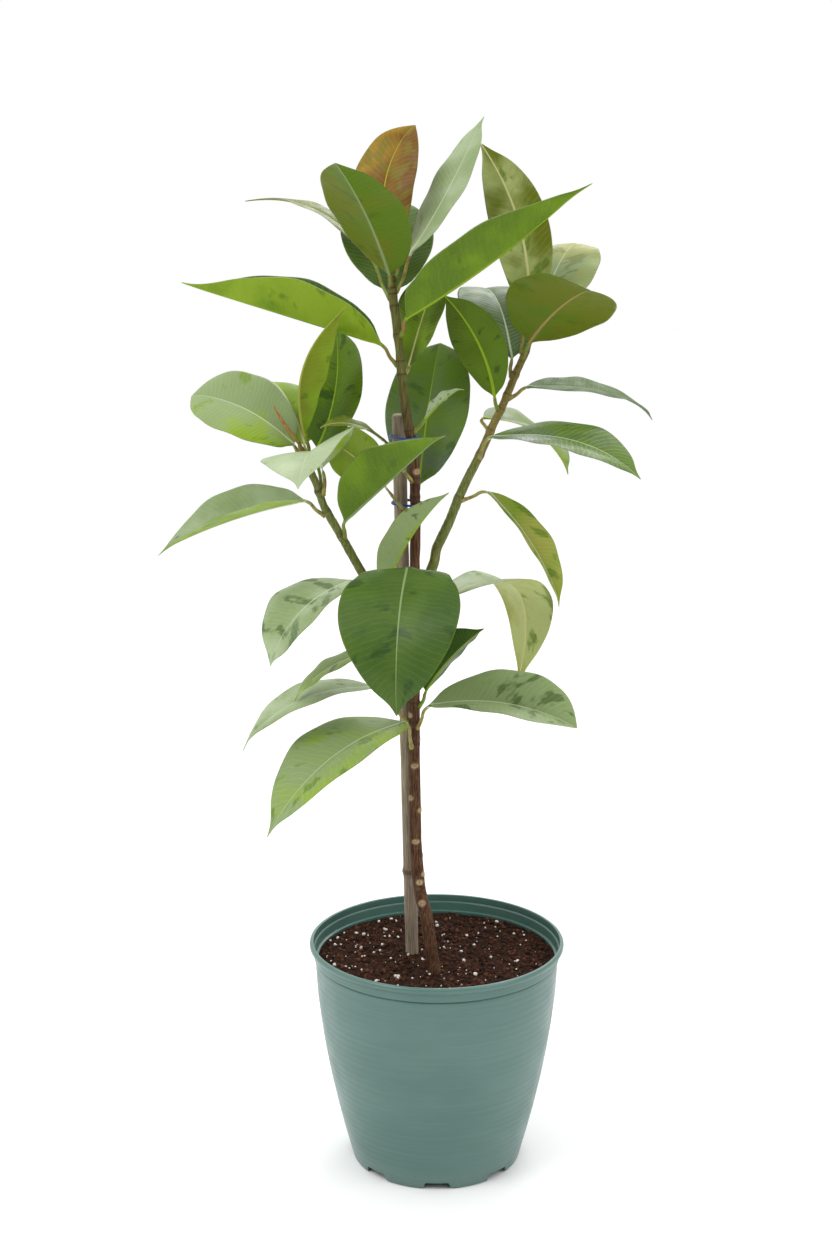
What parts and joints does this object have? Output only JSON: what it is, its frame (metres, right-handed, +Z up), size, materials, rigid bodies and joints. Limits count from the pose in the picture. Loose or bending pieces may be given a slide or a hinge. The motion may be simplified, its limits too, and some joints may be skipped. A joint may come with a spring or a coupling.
{
  "type": "potted rubber plant",
  "caption": "Young rubber plant in a round tapered nursery pot: a staked stem with two side shoots, large oval stalked leaves, soil and wire ties.",
  "frame": {"origin": "centre of the pot's flat underside, on the ground", "axes": "+Z up, along the stem; +X right and +Y away, seen from the front"},
  "size_m": [0.4459, 0.2981, 0.971],
  "materials": {
    "pot": "satin grey-green plastic",
    "soil": "rough crumbly red-brown potting mix with white perlite",
    "bark": "rough brown bark",
    "green_bark": "smooth young green-brown bark",
    "cane": "dry weathered wood",
    "tie": "blue coated wire",
    "bud_sheath": "thin orange-red sheath",
    "leaf_ochre": "young orange-brown leaf, satin",
    "leaf_fresh": "bright green leaf, satin",
    "leaf_olive": "olive leaf underside, matte",
    "leaf_green": "mid green leaf, glossy",
    "leaf_deep": "dark green leaf, glossy",
    "leaf_silver": "pale silvery leaf, satin",
    "leaf_sage": "sage green leaf, satin"
  },
  "bodies": {
    "root": {"pot": "pot", "soil": "soil", "main_stem": "bark", "left_branch": "green_bark", "right_branch": "green_bark", "support_cane": "cane", "plant_tie_upper": "tie", "plant_tie_lower": "tie", "bud_sheath": "bud_sheath", "leaf_top_ochre": "leaf_ochre", "leaf_top_front": "leaf_green", "leaf_top_silver": "leaf_silver", "leaf_top_left": "leaf_olive", "leaf_top_back": "leaf_deep", "leaf_high_left": "leaf_fresh", "leaf_high_right": "leaf_fresh", "leaf_high_back": "leaf_olive", "leaf_small_pale": "leaf_silver", "leaf_back_broad": "leaf_deep", "leaf_twisted": "leaf_deep", "leaf_middle_left": "leaf_olive", "leaf_rolled": "leaf_sage", "leaf_right_arching": "leaf_sage", "leaf_heart": "leaf_green", "leaf_mottled": "leaf_sage", "leaf_low_small": "leaf_olive", "leaf_low_curled": "leaf_deep", "leaf_low_sage": "leaf_sage", "leaf_low_right": "leaf_sage", "leaf_low_broad": "leaf_fresh", "leaf_left_round": "leaf_fresh", "leaf_left_hidden": "leaf_olive", "leaf_left_folded": "leaf_olive", "leaf_left_dark": "leaf_deep", "leaf_left_cupped": "leaf_silver", "leaf_left_low": "leaf_sage", "leaf_left_upright": "leaf_green", "leaf_right_tall": "leaf_olive", "leaf_right_pale": "leaf_sage", "leaf_right_broad": "leaf_olive", "leaf_right_veined": "leaf_silver", "leaf_right_narrow": "leaf_sage", "leaf_right_inner": "leaf_deep", "leaf_right_behind": "leaf_silver", "leaf_right_glossy": "leaf_green", "leaf_right_drooping": "leaf_olive"}
  },
  "joints": []
}
